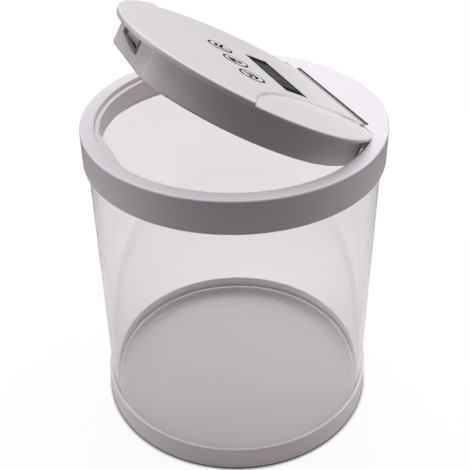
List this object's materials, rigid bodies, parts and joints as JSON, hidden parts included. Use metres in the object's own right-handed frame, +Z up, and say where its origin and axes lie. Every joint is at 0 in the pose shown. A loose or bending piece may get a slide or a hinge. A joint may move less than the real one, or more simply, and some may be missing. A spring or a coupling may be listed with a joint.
{
  "type": "timed lock container",
  "caption": "Clear round jar with a white base and collar and a hinged electronic timer lid, standing part open, with buttons, a display and a motor-driven latch bolt.",
  "frame": {"origin": "centre of the base's underside, on the surface the jar stands on", "axes": "+Z up along the jar, +Y towards the hinge, -Y towards the latch, X along the hinge axis"},
  "size_m": [0.1582, 0.1582, 0.2406],
  "materials": {
    "white_plastic": "satin gloss moulded",
    "liner_plastic": "satin moulded",
    "base_plastic": "satin moulded",
    "button_plastic": "satin gloss moulded",
    "bolt_plastic": "satin moulded",
    "clear_plastic": "clear polished",
    "window_black": "polished",
    "lcd_glass": "satin",
    "board_green": "solder mask",
    "switch_black": "matte",
    "steel": "bright",
    "motor_steel": "drawn",
    "cell_jacket": "printed film, bare",
    "gear_nylon": "moulded"
  },
  "bodies": {
    "jar": {"base_cap": "base_plastic", "clear_tube": "clear_plastic", "collar": "white_plastic", "collar_liner": "liner_plastic", "hinge_pins": "steel"},
    "lid": {"lid_cover": "white_plastic", "lid_housing": "liner_plastic", "display_window": "window_black", "lcd_module": "lcd_glass", "circuit_board": "board_green", "board_screws": "steel", "tact_switches": "switch_black", "buzzer": "switch_black", "battery_door": "liner_plastic", "battery_door_screw": "steel", "batteries": "cell_jacket", "battery_contacts": "steel", "gear_motor": "motor_steel", "housing_screws": "steel"},
    "down_button": {"down_button": "button_plastic"},
    "lock_button": {"lock_button": "button_plastic"},
    "up_button": {"up_button": "button_plastic"},
    "pinion": {"motor_shaft": "steel", "drive_pinion": "gear_nylon"},
    "bolt": {"latch_bolt": "bolt_plastic"}
  },
  "joints": [
    {"name": "lid_hinge", "type": "hinge", "parent": "jar", "child": "lid", "pos_m": [0, 0.0525, 0.176], "axis": [-1, 0, 0], "range_deg": [-29.4, 29.6]},
    {"name": "down_press", "type": "slide", "parent": "lid", "child": "down_button", "axis": [0, -0.4909, -0.8712], "range_m": [0, 0.0005], "stiffness_N_per_m": 1200, "springref_m": -0.0004},
    {"name": "lock_press", "type": "slide", "parent": "lid", "child": "lock_button", "axis": [0, -0.4909, -0.8712], "range_m": [0, 0.0005], "stiffness_N_per_m": 1200, "springref_m": -0.0004},
    {"name": "up_press", "type": "slide", "parent": "lid", "child": "up_button", "axis": [0, -0.4909, -0.8712], "range_m": [0, 0.0005], "stiffness_N_per_m": 1200, "springref_m": -0.0004},
    {"name": "bolt_slide", "type": "slide", "parent": "lid", "child": "bolt", "axis": [0, -0.8712, 0.4909], "range_m": [0, 0.0118]},
    {"name": "pinion_spin", "type": "hinge", "parent": "lid", "child": "pinion", "pos_m": [-0.011, -0.0297, 0.21773], "axis": [-1, 0, 0], "range_deg": [0, 225.5]}
  ],
  "couplings": [
    {"joint": "pinion_spin", "follows": "bolt_slide", "rad_per_m": 333.33}
  ]
}
